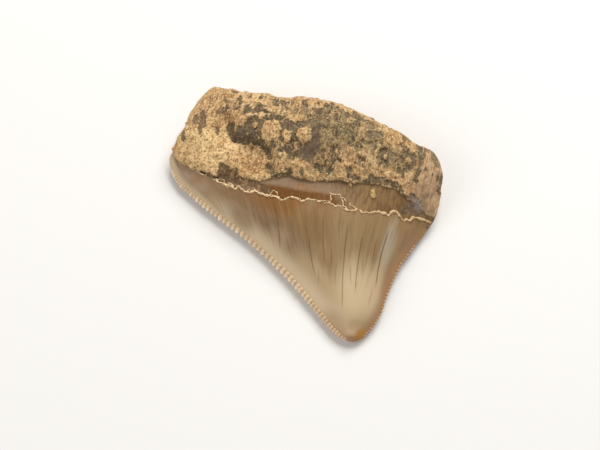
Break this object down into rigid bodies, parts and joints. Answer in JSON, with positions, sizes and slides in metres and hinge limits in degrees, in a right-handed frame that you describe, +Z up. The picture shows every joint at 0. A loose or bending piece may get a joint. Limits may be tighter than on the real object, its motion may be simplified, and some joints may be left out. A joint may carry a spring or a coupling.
{
  "type": "fossil megalodon tooth",
  "caption": "Broad triangular fossil shark tooth with serrated cutting edges, a smooth enamel crown curving to one side, and a thick, rough, sand-crusted root.",
  "frame": {"origin": "under the middle of the tooth's bounding box, on the ground it lies on", "axes": "+X from the mesial to the distal shoulder, +Y from the tip to the root, +Z up out of the lingual face"},
  "size_m": [0.055, 0.0469, 0.0134],
  "materials": {
    "enamel": "mineralised enamel with a soft gloss on the crown, and dull sandy crust on the root"
  },
  "bodies": {
    "root": {"tooth": "enamel"}
  },
  "joints": []
}
